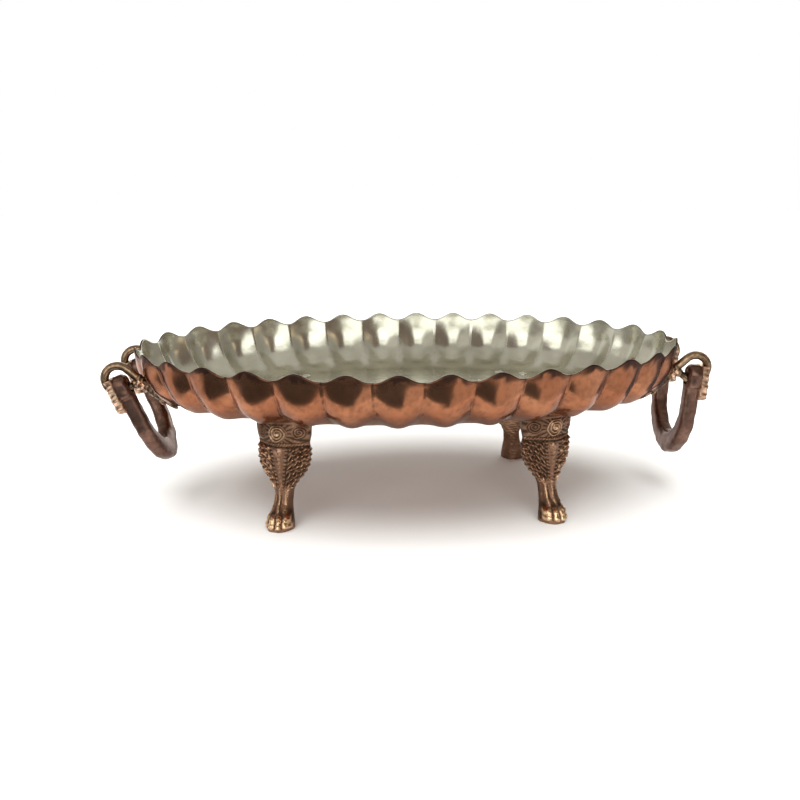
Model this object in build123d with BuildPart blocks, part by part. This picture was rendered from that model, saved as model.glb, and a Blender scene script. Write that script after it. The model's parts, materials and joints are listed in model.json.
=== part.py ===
"""Oval fluted copper tray on four cast paw legs, with a swinging bail handle at each end.

Frame: origin on the ground under the middle of the tray, +X along its length, +Z up, front at -Y.
"""

import math
import os

from build123d import *

# ---- driving dimensions, mm ----
RIM_LENGTH = 400.0        # long axis of the rim
RIM_WIDTH = 254.8         # short axis of the rim
RIM_HEIGHT = 115.6        # mean height of the wavy rim above the ground
RIM_WAVE = 2.8            # the rim rises and falls by this
FLOOR_HEIGHT = 76.0       # underside of the tray, which is the top of the legs
SHEET = 1.2               # copper sheet
WALL_SHRINK = 1.74        # the hollow is smaller by this all round, which leaves the sheet on a slope
FLUTES = 32
SCALLOP_CUTTER = 30.0     # length of the cutters that wave the rim

WALL = (                  # wall at a crease: height above the floor, inset from the rim, bulge of the flute
    (0.0, 36.5, 3.5),
    (5.0, 24.5, 4.8),
    (14.0, 12.5, 5.4),
    (26.0, 4.0, 4.6),
    (39.6, 0.0, 1.6),
    (45.0, -0.5, 1.0),
)

LEG_X = 93.0              # middle of a leg's top plate
LEG_Y = 68.0
LEG_TURN = 22.0           # a leg faces outwards, turned this far from the Y axis
PLATE = 4.0               # top plate of a leg
PLATE_CORNER = (14.5, -15.5)
LEG_BOTTOM = 18.0         # the curved shell of a leg starts here, inside the paw
ANKLE = (6.8, 24.0)       # half width and height
LEG_EDGE = (21.0, -3.0)   # ends of the shell's curved front
LEG_FRONT = 10.5          # middle of the shell's front and of its back
LEG_REAR = (19.0, -8.0)
LEG_BACK = -1.5
LEG_SIDE = (ANKLE, (9.5, 31), (15.5, 38), (19, 46), (19.5, 55))             # half width and height
LEG_HEAD = ((19.5, 55), (18, 59), (20, 66), (20.2, 72), (19, FLOOR_HEIGHT), (0, FLOOR_HEIGHT))
MOULDING_Z = 58.0         # band across the front of a leg
MOULDING_HIGH = 2.4
MOULDING_EDGE = (20.5, -2.0)
MOULDING_FRONT = 11.7
MOULDING_HOLLOW = (34.0, 14.0, -6.0)         # width, depth and middle of the part behind the band
ROSETTE_Z = 67.0
ROSETTE_R = 6.0
ROSETTE_THICK = 4.0
SOLE = (-2.5, 17.5)       # back and front of the foot
PAW_FRONT = ((17.5, 4), (15.5, 10), (9.5, 17), (6.2, 26), (6.5, 34))
PAW_BACK = ((-1, 34), (-2, 24), (-2.3, 12), (-2.5, 3))
PAW_SIDE = ((9.6, 5), (8.4, 12), (6.9, 20), (7.2, 27), (9.0, 34))
PAW_HALF = 10.0
TOE_R = 2.6
TOE_MIDDLES = (-6.6, -2.2, 2.2, 6.6)
TOE_FORWARD = 15.8
TOE_Z = 3.2
RIVET_R = 2.0
RIVET_SPAN = 10.0         # a leg's rivets stand this far each side of its middle
RIVET_BACK = 10.0         # and this far behind it

LOOP_X = 208.5            # centre of a hook's loop
LOOP_Z = RIM_HEIGHT - 17.0
LOOP_R = 9.5              # centre line of the loop
ROD_R = 3.0
HOOK_Y = 32.0
LOOP_END = 235.0          # where the loop's arc ends and its straight tail starts
TAIL = 8.0
BALL_R = 3.3
STRAP_ANGLE = 41.0        # slope of the strap below horizontal
STRAP_WIDTH = 13.0
STRAP_THICK = 5.85        # before it is fitted to the flutes
STRAP_LENGTH = 45.0
STRAP_ROD = 14.0          # the rod runs down the strap this far
STRAP_TOP = (6.0, 3.0)    # distance along the strap and half width where it starts
STRAP_LEAF = ((14, 4), (22, STRAP_WIDTH / 2), (32, STRAP_WIDTH / 2 - 1), (40, 2.5), (STRAP_LENGTH, 0))
HOOK_RIVET_R = 1.6
HOOK_RIVETS = ((24.5, 1.6), (34.0, 1.5))     # along the strap, and how deep the wall lies there

HANG_LEFT = 22.0          # degrees inwards from vertical at which each bail hangs
HANG_RIGHT = 4.0
BAR_WIDTH = 9.2           # a bail's bar, along the hinge axis
BAR_DEPTH = 11.4          # and across it
BAIL_DROP = 74.0          # from the loop centre to the bottom of the bail
BAIL_BOTTOM = 17.0        # height of the bar at the bottom of the bail
BAIL_TAPER_OUT = (1.9, -38.0)                # an arm's outer edge leans in by this, down to this height
BAIL_TAPER_IN = (2.2, -32.0)
BAIL_ROUND = 2.2          # rounding of the bar's edges
EYE_R = 7.5
EYE_LONG = 2.5            # an eye is two circles this far apart
EYE_CLEARANCE = 1.3
LEAF_RISE = 3.4
LEAF_Z = -27.0
LEAF_SIZE = (5.2, 13.5)   # half width and half height
LEAF_IN = 0.975           # the leaf's middle as a fraction of the hook's distance from the middle

CUTTER = 16.0             # length of the drills for rivet holes, through everything
ACROSS = 30.0             # half depth of solids that trim a shape all the way through
HEAD_ROUND = 0.85         # rounding of a rivet head as a fraction of its rise
LEG_RIVET_HEADS = ((3.8, 1.6), (4.2, 1.9))   # radius and rise, below and above
HOOK_RIVET_HEADS = ((2.9, 2.6), (2.9, 1.6))  # inside and outside the wall

SIDES = (("left", -1), ("right", 1))
ENDS = (("front", -1), ("rear", 1))


# ---- tray ----
def rim_angles(count):
    """Angles of points equally spaced round the rim's ellipse, starting on +X."""
    steps = 4000
    half_x = RIM_LENGTH / 2
    half_y = RIM_WIDTH / 2
    lengths = [0.0]
    for i in range(steps):
        t = 2 * math.pi * (i + 0.5) / steps
        lengths.append(lengths[-1] + math.hypot(half_x * math.sin(t), half_y * math.cos(t)))
    angles = []
    i = 0
    for k in range(count):
        target = lengths[-1] * k / count
        while lengths[i + 1] < target:
            i += 1
        angles.append(2 * math.pi * (i + (target - lengths[i]) / (lengths[i + 1] - lengths[i])) / steps)
    return angles


def rim_point(angle, inset):
    """Point inside the rim's ellipse by inset along its normal, and that normal."""
    half_x = RIM_LENGTH / 2
    half_y = RIM_WIDTH / 2
    normal = Vector(math.cos(angle) / half_x, math.sin(angle) / half_y, 0).normalized()
    return Vector(half_x * math.cos(angle), half_y * math.sin(angle), 0) - normal * inset, normal


HALF_STEPS = rim_angles(2 * FLUTES)
CREASES = HALF_STEPS[0::2]
CROWNS = HALF_STEPS[1::2]


def fluted_outline(inset, bulge):
    """Closed outline of the wall: one arc for each flute, between two creases."""
    with BuildLine(mode=Mode.PRIVATE) as outline:
        for k in range(FLUTES):
            start = rim_point(CREASES[k], inset)[0]
            crown = rim_point(CROWNS[k], inset - bulge)[0]
            end = rim_point(CREASES[(k + 1) % FLUTES], inset)[0]
            ThreePointArc(start, crown, end)
    return outline.line


def fluted_solid(floor_lift, shrink):
    """Solid inside the wall. The hollow's solid starts higher and is smaller by the sheet."""
    with BuildPart(mode=Mode.PRIVATE) as solid:
        for rise, inset, bulge in WALL:
            lift = floor_lift if rise == 0 else 0
            with BuildSketch(Plane.XY.offset(FLOOR_HEIGHT + rise + lift)):
                with BuildLine():
                    add(fluted_outline(inset + shrink, bulge))
                make_face()
        loft(ruled=True)
    return solid.part


outer_solid = fluted_solid(0, 0)
inner_solid = fluted_solid(SHEET, WALL_SHRINK)

half_pitch = (rim_point(CREASES[1], 0)[0] - rim_point(CREASES[0], 0)[0]).length / 2
scallop_r = half_pitch**2 / (4 * RIM_WAVE) + RIM_WAVE
scallops = []
for angle in CREASES:
    point, normal = rim_point(angle, 0)
    origin = point + Vector(0, 0, RIM_HEIGHT - RIM_WAVE + scallop_r)
    scallops.append(Plane(origin=origin, z_dir=normal))

leg_planes = {}
turn = math.radians(LEG_TURN)
for end, side_y in ENDS:
    for side, side_x in SIDES:
        facing = Vector(side_x * math.sin(turn), side_y * math.cos(turn), 0)
        leg_planes[f"{end}_{side}"] = Plane(
            origin=(side_x * LEG_X, side_y * LEG_Y, 0),
            x_dir=facing.cross(Vector(0, 0, 1)),
            z_dir=(0, 0, 1),
        )

# The rear right hook. Its strap's own plane has x down the strap and z out of the wall.
slope = math.radians(STRAP_ANGLE)
strap_start = Vector(LOOP_X - LOOP_R * math.sin(slope), HOOK_Y, LOOP_Z + LOOP_R * math.cos(slope))
strap_down = Vector(-math.cos(slope), 0, -math.sin(slope))
strap_out = Vector(math.sin(slope), 0, -math.cos(slope))

with BuildPart() as tray_body:
    add(outer_solid)
    add(inner_solid, mode=Mode.SUBTRACT)
    with Locations(*scallops):
        Cylinder(scallop_r, SCALLOP_CUTTER, mode=Mode.SUBTRACT)
    for plane in leg_planes.values():
        with Locations(
            plane * Location((-RIVET_SPAN, -RIVET_BACK, FLOOR_HEIGHT)),
            plane * Location((RIVET_SPAN, -RIVET_BACK, FLOOR_HEIGHT)),
        ):
            Cylinder(RIVET_R, CUTTER, mode=Mode.SUBTRACT)
    for side, side_x in SIDES:
        for end, side_y in ENDS:
            for rivet_place in HOOK_RIVETS:
                centre = strap_start + strap_down * rivet_place[0]
                axis_plane = Plane(
                    origin=(side_x * centre.X, side_y * centre.Y, centre.Z),
                    z_dir=(side_x * strap_out.X, 0, strap_out.Z),
                )
                with Locations(axis_plane):
                    Cylinder(HOOK_RIVET_R, CUTTER, mode=Mode.SUBTRACT)
tray_body.part.label = "tray_body"

# ---- legs ----
def curved_front(edge, front):
    """Arc across the front of a leg, from its left edge to its right one."""
    return ThreePointArc((-edge[0], edge[1]), (0, front), edge)


with BuildPart() as leg_bracket:
    with BuildSketch(Plane.XY.offset(LEG_BOTTOM)):
        with BuildLine():
            curved_front(LEG_EDGE, LEG_FRONT)
            Line(LEG_EDGE, LEG_REAR)
            curved_front(LEG_REAR, LEG_BACK)
            Line((-LEG_REAR[0], LEG_REAR[1]), (-LEG_EDGE[0], LEG_EDGE[1]))
        make_face()
    extrude(amount=FLOOR_HEIGHT - PLATE - LEG_BOTTOM)
    with BuildSketch(Plane.XY.offset(FLOOR_HEIGHT - PLATE)):
        with BuildLine():
            curved_front(LEG_EDGE, LEG_FRONT)
            right_side = (LEG_EDGE, LEG_REAR, PLATE_CORNER)
            Polyline(*right_side, *((-x, y) for x, y in reversed(right_side)))
        make_face()
    extrude(amount=PLATE)
    with BuildSketch(Plane.XZ):
        with BuildLine():
            Polyline((0, LEG_BOTTOM), (ANKLE[0], LEG_BOTTOM), ANKLE)
            Spline(*LEG_SIDE)
            Polyline(*LEG_HEAD)
            Line((0, FLOOR_HEIGHT), (0, LEG_BOTTOM))
        make_face()
        mirror(about=Plane.YZ)
    extrude(amount=ACROSS, both=True, mode=Mode.INTERSECT)

with BuildPart() as paw:
    with BuildSketch(Plane.YZ):
        with BuildLine():
            Line((SOLE[0], 0), (SOLE[1], 0))
            Line((SOLE[1], 0), PAW_FRONT[0])
            Spline(*PAW_FRONT)
            Line(PAW_FRONT[-1], PAW_BACK[0])
            Spline(*PAW_BACK)
            Line(PAW_BACK[-1], (SOLE[0], 0))
        make_face()
    extrude(amount=PAW_HALF, both=True)
    with BuildSketch(Plane.XZ):
        with BuildLine():
            Polyline((0, 0), (PAW_SIDE[0][0], 0), PAW_SIDE[0])
            Spline(*PAW_SIDE)
            Polyline(PAW_SIDE[-1], (0, PAW_SIDE[-1][1]), (0, 0))
        make_face()
        mirror(about=Plane.YZ)
    extrude(amount=ACROSS, both=True, mode=Mode.INTERSECT)

with BuildPart() as leg:
    add(leg_bracket.part)
    add(paw.part)
    # moulding across the front, rosette above it and toes at the bottom
    with BuildSketch(Plane.XY.offset(MOULDING_Z)):
        with BuildLine():
            curved_front(MOULDING_EDGE, MOULDING_FRONT)
            Line(MOULDING_EDGE, (-MOULDING_EDGE[0], MOULDING_EDGE[1]))
        make_face()
        with Locations((0, MOULDING_HOLLOW[2])):
            Rectangle(MOULDING_HOLLOW[0], MOULDING_HOLLOW[1], mode=Mode.SUBTRACT)
    extrude(amount=MOULDING_HIGH)
    with Locations(Plane(origin=(0, LEG_FRONT, ROSETTE_Z), z_dir=(0, 1, 0))):
        Cylinder(ROSETTE_R, ROSETTE_THICK)
    for x in TOE_MIDDLES:
        with Locations((x, TOE_FORWARD, TOE_Z)):
            Sphere(TOE_R)
    with Locations((0, 0, FLOOR_HEIGHT - PLATE)):
        with Locations((-RIVET_SPAN, -RIVET_BACK), (RIVET_SPAN, -RIVET_BACK)):
            Cylinder(RIVET_R, ACROSS, mode=Mode.SUBTRACT)

# ---- rivets ----
UP = (Align.CENTER, Align.CENTER, Align.MIN)
DOWN = (Align.CENTER, Align.CENTER, Align.MAX)


def rivet(shank_r, low, high, low_head, high_head):
    """Rivet on the Z axis from low to high, with a rounded head (radius, rise) at each end."""
    with BuildPart(mode=Mode.PRIVATE) as piece:
        with Locations((0, 0, low)):
            Cylinder(shank_r, high - low, align=UP)
            Cylinder(low_head[0], low_head[1], align=DOWN)
        fillet(piece.edges().sort_by(Axis.Z)[0], radius=low_head[1] * HEAD_ROUND)
        with Locations((0, 0, high)):
            Cylinder(high_head[0], high_head[1], align=UP)
        fillet(piece.edges().sort_by(Axis.Z)[-1], radius=high_head[1] * HEAD_ROUND)
    return piece.part


leg_rivet = rivet(RIVET_R, FLOOR_HEIGHT - PLATE, FLOOR_HEIGHT + SHEET, *LEG_RIVET_HEADS)
with BuildPart() as leg_rivets:
    with Locations((-RIVET_SPAN, -RIVET_BACK, 0), (RIVET_SPAN, -RIVET_BACK, 0)):
        add(leg_rivet)

# ---- hooks: strap on the wall, loop, and a ball on the free end ----
hook_plane = Plane(origin=(0, HOOK_Y, 0), x_dir=(1, 0, 0), z_dir=(0, -1, 0))
with BuildLine(hook_plane) as hook_path:
    strap_top = Line(
        (strap_start.X + STRAP_ROD * strap_down.X, strap_start.Z + STRAP_ROD * strap_down.Z),
        (strap_start.X, strap_start.Z),
    )
    loop_arc = CenterArc((LOOP_X, LOOP_Z), LOOP_R, 90 + STRAP_ANGLE, LOOP_END - 450 - STRAP_ANGLE)
    tail_line = PolarLine(loop_arc @ 1, TAIL, direction=loop_arc % 1)

strap_plane = Plane(origin=strap_start, x_dir=strap_down, z_dir=strap_out)
with BuildPart() as hook:
    with BuildSketch(Plane(origin=hook_path.line @ 0, z_dir=hook_path.line % 0)):
        Circle(ROD_R)
    sweep(path=hook_path.line)
    with Locations(hook_path.line @ 1):
        Sphere(BALL_R)
    with BuildSketch(strap_plane.offset(ROD_R)):
        with BuildLine():
            Polyline((STRAP_TOP[0], 0), STRAP_TOP, STRAP_LEAF[0])
            Spline(*STRAP_LEAF)
            Line((STRAP_LENGTH, 0), (STRAP_TOP[0], 0))
        make_face()
        mirror(about=Plane.XZ)
    extrude(amount=-STRAP_THICK)
    add(outer_solid, mode=Mode.SUBTRACT)
    for rivet_place in HOOK_RIVETS:
        with Locations(strap_plane * Location((rivet_place[0], 0, 0))):
            Cylinder(HOOK_RIVET_R, CUTTER, mode=Mode.SUBTRACT)

hook_rivet_pieces = []
for along, depth in HOOK_RIVETS:
    placing = Plane(origin=strap_start + strap_down * along, x_dir=strap_down, z_dir=strap_out)
    inner = -depth - SHEET / 2
    hook_rivet_pieces.append(placing.location * rivet(HOOK_RIVET_R, inner, ROD_R, *HOOK_RIVET_HEADS))

with BuildPart() as hook_rivets:
    add(hook_rivet_pieces)
    add(tray_body.part, mode=Mode.SUBTRACT)

# ---- bails: a U-shaped bar whose two eyes are threaded on the loops ----
ARM_IN = HOOK_Y - BAR_WIDTH / 2 - 0.2        # slightly wider than the bar at the eye
ARM_OUT = HOOK_Y + BAR_WIDTH / 2
outer_end = (ARM_OUT - BAIL_TAPER_OUT[0], BAIL_TAPER_OUT[1])
inner_end = (ARM_IN - BAIL_TAPER_IN[0], BAIL_TAPER_IN[1])
outer_lean = (-BAIL_TAPER_OUT[0], BAIL_TAPER_OUT[1] + LOOP_R)
inner_lean = (-BAIL_TAPER_IN[0], BAIL_TAPER_IN[1] + LOOP_R)
bails = {}
for side, side_x in SIDES:
    hang = math.radians(HANG_LEFT if side == "left" else HANG_RIGHT)
    bail_plane = Plane(
        origin=(side_x * LOOP_X, 0, LOOP_Z),
        x_dir=(0, 1, 0),
        z_dir=(math.cos(hang), 0, -side_x * math.sin(hang)),
    )
    with BuildPart() as bail:
        with BuildSketch(bail_plane):
            with BuildLine():
                Line((ARM_OUT, -LOOP_R), outer_end)
                TangentArc(outer_end, (0, -BAIL_DROP), tangent=outer_lean)
                Line((0, -BAIL_DROP), (0, -BAIL_DROP + BAIL_BOTTOM))
                TangentArc(inner_end, (0, -BAIL_DROP + BAIL_BOTTOM), tangent=inner_lean)
                Line(inner_end, (ARM_IN, -LOOP_R))
                Line((ARM_IN, -LOOP_R), (ARM_OUT, -LOOP_R))
            make_face()
            mirror(about=Plane.YZ)
            for y in (-HOOK_Y, HOOK_Y):
                with Locations((y, -LOOP_R), (y, -LOOP_R + EYE_LONG)):
                    Circle(EYE_R)
        extrude(amount=BAR_DEPTH / 2, both=True)
        fillet(bail.edges(), radius=BAIL_ROUND)
        # a leaf on the outward face of each arm
        with BuildSketch(bail_plane.offset(side_x * BAR_DEPTH / 2)):
            with Locations((-HOOK_Y * LEAF_IN, LEAF_Z), (HOOK_Y * LEAF_IN, LEAF_Z)):
                Ellipse(*LEAF_SIZE)
        extrude(amount=side_x * LEAF_RISE)
        for y in (-HOOK_Y, HOOK_Y):
            with Locations(Plane(origin=(side_x * LOOP_X, y, LOOP_Z), x_dir=(1, 0, 0), z_dir=(0, 1, 0))):
                Torus(LOOP_R, ROD_R + EYE_CLEARANCE, mode=Mode.SUBTRACT)
    bails[side] = bail.part

# ---- labels and files ----
os.makedirs("parts", exist_ok=True)
export_step(tray_body.part, "parts/tray_body.step")
for name, plane in leg_planes.items():
    placed_leg = plane.location * leg.part
    placed_leg.label = f"{name}_leg"
    export_step(placed_leg, f"parts/{name}_leg.step")
    placed_rivets = plane.location * leg_rivets.part
    placed_rivets.label = f"{name}_leg_rivets"
    export_step(placed_rivets, f"parts/{name}_leg_rivets.step")
for side, side_x in SIDES:
    for end, side_y in ENDS:
        placed = {"hook": hook.part, "hook_rivets": hook_rivets.part}
        for kind, piece in placed.items():
            if side_x < 0:
                piece = piece.mirror(Plane.YZ)
            if side_y < 0:
                piece = piece.mirror(Plane.XZ)
            piece.label = f"{side}_{end}_{kind}"
            export_step(piece, f"parts/{side}_{end}_{kind}.step")
    bails[side].label = f"{side}_handle"
    export_step(bails[side], f"parts/{side}_handle.step")
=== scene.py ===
"""Looks of the oval fluted copper tray: tinned inside, on four paw legs, with a bail at each end."""

import json
import math

import bmesh
import bpy
import numpy as np
from mathutils import Matrix, Vector
from mathutils.bvhtree import BVHTree


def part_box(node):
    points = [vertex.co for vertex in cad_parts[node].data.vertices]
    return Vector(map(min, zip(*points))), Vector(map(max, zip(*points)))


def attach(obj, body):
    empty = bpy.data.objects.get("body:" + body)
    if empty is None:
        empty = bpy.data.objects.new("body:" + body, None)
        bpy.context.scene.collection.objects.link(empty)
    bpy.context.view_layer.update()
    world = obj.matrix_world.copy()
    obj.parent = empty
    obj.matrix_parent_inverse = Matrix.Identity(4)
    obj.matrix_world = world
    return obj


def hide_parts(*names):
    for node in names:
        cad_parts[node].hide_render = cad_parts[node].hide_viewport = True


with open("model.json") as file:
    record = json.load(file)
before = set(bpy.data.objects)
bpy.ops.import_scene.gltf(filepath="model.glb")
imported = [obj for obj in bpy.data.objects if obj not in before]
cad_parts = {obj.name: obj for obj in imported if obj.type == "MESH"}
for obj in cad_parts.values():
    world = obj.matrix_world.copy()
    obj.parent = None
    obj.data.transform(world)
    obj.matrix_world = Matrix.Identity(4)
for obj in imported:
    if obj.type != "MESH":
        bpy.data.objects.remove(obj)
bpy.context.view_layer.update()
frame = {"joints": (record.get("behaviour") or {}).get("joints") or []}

MM = 0.001
TAU = 2 * math.pi
WAVES = 14                # plane waves in each octave of a random field
SIDES = (("left", -1), ("right", 1))
ENDS = (("front", -1), ("rear", 1))

# ---- sizes, in millimetres, read from the frame where it gives them ----
FLOOR_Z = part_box("tray_body")[0].z / MM
RIM_WAVE = 2.8
RIM_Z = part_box("tray_body")[1].z / MM - RIM_WAVE - 0.2
HALF_LENGTH = 200.0
HALF_WIDTH = 127.4
SHEET = 1.2
FLUTES = 32
PER_FLUTE = 22
joints = {j["name"]: j for j in frame["joints"]}
LOOP_X = joints["right_bail_swing"]["pos_m"][0] / MM
LOOP_Z = joints["right_bail_swing"]["pos_m"][2] / MM
LOOP_R = 9.5
ROD_R = 3.0
HOOK_Y = 32.0
STRAP_SLOPE = math.radians(41.0)
HANG = {"left": math.radians(22.0), "right": math.radians(4.0)}
LEG_X = 93.0
LEG_Y = 68.0
LEG_TURN = math.radians(22.0)
# the camera, fitted to the photo
CAMERA_PLACE = Vector((-52.5, -678.3, RIM_Z + 125.1))
CAMERA_FORWARD = Vector((0.06505, 0.96801, -0.24233))
CAMERA_UP = Vector((0.0215, 0.24143, 0.97018))
LENS = 41.39


# ---- camera ----
def make_camera():
    """Low three-quarter view from the front, a little to the left."""
    data = bpy.data.cameras.new("camera")
    data.sensor_width = 36.0
    data.lens = LENS
    data.clip_start = 0.01
    camera = bpy.data.objects.new("camera", data)
    bpy.context.scene.collection.objects.link(camera)
    forward = CAMERA_FORWARD.normalized()
    right = forward.cross(CAMERA_UP).normalized()
    up = right.cross(forward)
    rotation = Matrix((right, up, -forward)).transposed()
    camera.matrix_world = Matrix.Translation(CAMERA_PLACE * MM) @ rotation.to_4x4()
    bpy.context.scene.camera = camera


make_camera()


# ---- mesh helpers ----
def smoothstep(low, high, value):
    """0 at low and 1 at high, with a smooth rise between them. low may be above high."""
    t = np.clip((value - low) / (high - low), 0, 1)
    return t * t * (3 - 2 * t)


def mesh_object(name, points, faces, material):
    """Mesh object from points in millimetres."""
    mesh = bpy.data.meshes.new(name)
    mesh.from_pydata((np.asarray(points) * MM).tolist(), [], faces)
    mesh.validate()
    mesh.update()
    mesh.polygons.foreach_set("use_smooth", [True] * len(mesh.polygons))
    mesh.materials.append(material)
    piece = bpy.data.objects.new(name, mesh)
    bpy.context.scene.collection.objects.link(piece)
    return piece


def grid_faces(rows, columns, start=0, flip=False):
    """Quads of a grid of points whose last column joins the first."""
    faces = []
    for i in range(rows - 1):
        for j in range(columns):
            k = (j + 1) % columns
            quad = (start + i * columns + j, start + i * columns + k,
                    start + (i + 1) * columns + k, start + (i + 1) * columns + j)
            faces.append(quad[::-1] if flip else quad)
    return faces


def ring_body(rings):
    """Points and faces of a closed body through rings of equal count, each a closed loop of points."""
    rings = np.asarray(rings, float)
    rows, columns = rings.shape[:2]
    points = rings.reshape(-1, 3).tolist()
    faces = grid_faces(rows, columns)
    points.append(rings[0].mean(0).tolist())
    centre = len(points) - 1
    faces += [(centre, (j + 1) % columns, j) for j in range(columns)]
    points.append(rings[-1].mean(0).tolist())
    centre = len(points) - 1
    base = (rows - 1) * columns
    faces += [(centre, base + j, base + (j + 1) % columns) for j in range(columns)]
    return points, faces


def joined(parts):
    """One list of points and faces out of several."""
    points = []
    faces = []
    for more_points, more_faces in parts:
        start = len(points)
        points += [list(p) for p in more_points]
        faces += [tuple(start + i for i in f) for f in more_faces]
    return points, faces


def fix_normals(piece):
    """Turns every face of a closed body outwards."""
    bm = bmesh.new()
    bm.from_mesh(piece.data)
    bmesh.ops.recalc_face_normals(bm, faces=bm.faces)
    bm.to_mesh(piece.data)
    bm.free()


def lumps(points, size, seed):
    """Smooth random field, about -1 to 1, made of two octaves of plane waves about size long."""
    source = np.random.default_rng(seed)
    points = np.asarray(points, float)
    total = np.zeros(points.shape[:-1])
    for octave in range(2):
        for _ in range(WAVES):
            direction = source.normal(size=3)
            direction /= np.linalg.norm(direction)
            pitch = size / (1.8**octave) * source.uniform(0.75, 1.35)
            phase = source.uniform(0, TAU)
            total += np.sin(points @ direction * TAU / pitch + phase) / (1.7**octave)
    return total / (1.6 * math.sqrt(WAVES))


# ---- materials ----
GRIME_WEIGHT = 0.55       # most that grime covers
FINE_TO_PATCH = 6         # finer noise, as a multiple of the patches' scale
GRAIN_TO_HAMMER = 9
GRAIN_SHARE = 0.12
HOLLOW_DULLS = 0.25       # roughness added in hollows
HIGH_RELIEF_GLOSS = 0.06     # and taken off on the high relief with the painted glints
# patches where the high relief gets its painted golden glint
GLINT_PATCHES = ((0.38, (0.35, 0.35, 0.35)), (0.60, (1, 1, 1)))


def new_material(name):
    """Empty node material with a Principled shader."""
    material = bpy.data.materials.new(name)
    material.use_nodes = True
    tree = material.node_tree
    tree.nodes.clear()
    out = tree.nodes.new("ShaderNodeOutputMaterial")
    shader = tree.nodes.new("ShaderNodeBsdfPrincipled")
    tree.links.new(shader.outputs[0], out.inputs[0])
    return material, tree, shader


def noise(tree, coords, scale, detail=3.0):
    """Noise over object coordinates, scale in cycles per metre."""
    made = tree.nodes.new("ShaderNodeTexNoise")
    made.inputs["Scale"].default_value = scale
    made.inputs["Detail"].default_value = detail
    made.inputs["Roughness"].default_value = 0.55
    tree.links.new(coords, made.inputs["Vector"])
    return made.outputs["Fac"]


def ramp(tree, source, stops):
    """Colour ramp with stops of (place, colour)."""
    made = tree.nodes.new("ShaderNodeValToRGB")
    elements = made.color_ramp.elements
    while len(elements) < len(stops):
        elements.new(0.5)
    for element, (place, colour) in zip(elements, stops):
        element.position = place
        element.color = (*colour, 1.0)
    tree.links.new(source, made.inputs["Fac"])
    return made.outputs["Color"]


def mix(tree, factor, first, tint):
    """first, turned towards the colour tint by factor."""
    made = tree.nodes.new("ShaderNodeMix")
    made.data_type = "RGBA"
    a_socket, b_socket = [s for s in made.inputs if s.type == "RGBA"]
    tree.links.new(factor, made.inputs["Factor"])
    tree.links.new(first, a_socket)
    b_socket.default_value = (*tint, 1.0)
    return [s for s in made.outputs if s.type == "RGBA"][0]


def scalar(tree, operation, first, second=0.0):
    """Math node. Each operand is a number or a socket."""
    made = tree.nodes.new("ShaderNodeMath")
    made.operation = operation
    for value, socket in ((first, made.inputs[0]), (second, made.inputs[1])):
        if isinstance(value, (int, float)):
            socket.default_value = value
        else:
            tree.links.new(value, socket)
    return made.outputs[0]


def bump(tree, shader, height, strength, distance):
    """Lets height bend the shader's normals."""
    made = tree.nodes.new("ShaderNodeBump")
    made.inputs["Strength"].default_value = strength
    made.inputs["Distance"].default_value = distance
    tree.links.new(height, made.inputs["Height"])
    tree.links.new(made.outputs[0], shader.inputs["Normal"])


def share_of(tree, name):
    """Reads a per-vertex share that set_share wrote."""
    made = tree.nodes.new("ShaderNodeAttribute")
    made.attribute_name = name
    return made.outputs["Fac"]


def metal(name, colours, rough, patch_scale, grime, hammer, bump_strength, bump_depth,
          grime_share=(0.45, 0.7), shade_and_mark_colour=None, painted_glint=None):
    """Worked metal: mottled colour, grimy patches, fine dents, a dark colour for painted shade and for the tray's
    darker marks, and a light colour for painted glints on high relief.
    """
    material, tree, shader = new_material(name)
    coords = tree.nodes.new("ShaderNodeTexCoord").outputs["Object"]
    colour = ramp(tree, noise(tree, coords, patch_scale), colours)
    fine = noise(tree, coords, patch_scale * FINE_TO_PATCH, 4.0)
    mask = ramp(tree, fine, ((grime_share[0], (0, 0, 0)), (grime_share[1], (1, 1, 1))))
    colour = mix(tree, scalar(tree, "MULTIPLY", mask, GRIME_WEIGHT), colour, grime)
    spread = scalar(tree, "MULTIPLY", fine, rough[1] - rough[0])
    level = scalar(tree, "ADD", spread, rough[0])
    if shade_and_mark_colour:
        # painted shade: the dark colour goes over hollows and shaded sides, and over the tray's darker marks
        shade_and_marks = share_of(tree, "shade_and_marks")
        colour = mix(tree, shade_and_marks, colour, shade_and_mark_colour)
        level = scalar(tree, "ADD", level, scalar(tree, "MULTIPLY", shade_and_marks, HOLLOW_DULLS))
    if painted_glint:
        # painted glints: a light colour on the high relief, in patches, standing in for highlights
        high = share_of(tree, "painted_glint")
        colour = mix(tree, scalar(tree, "MULTIPLY", high, ramp(tree, fine, GLINT_PATCHES)), colour, painted_glint)
        level = scalar(tree, "SUBTRACT", level, scalar(tree, "MULTIPLY", high, HIGH_RELIEF_GLOSS))
    tree.links.new(colour, shader.inputs["Base Color"])
    tree.links.new(level, shader.inputs["Roughness"])
    shader.inputs["Metallic"].default_value = 1.0
    dents = noise(tree, coords, hammer, 2.0)
    grain = noise(tree, coords, hammer * GRAIN_TO_HAMMER, 2.0)
    height = scalar(tree, "ADD", dents, scalar(tree, "MULTIPLY", grain, GRAIN_SHARE))
    bump(tree, shader, height, bump_strength, bump_depth)
    return material


# dark colour: painted shade in the creases and on the hidden inner face, and the darker rim band and streaks
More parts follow.
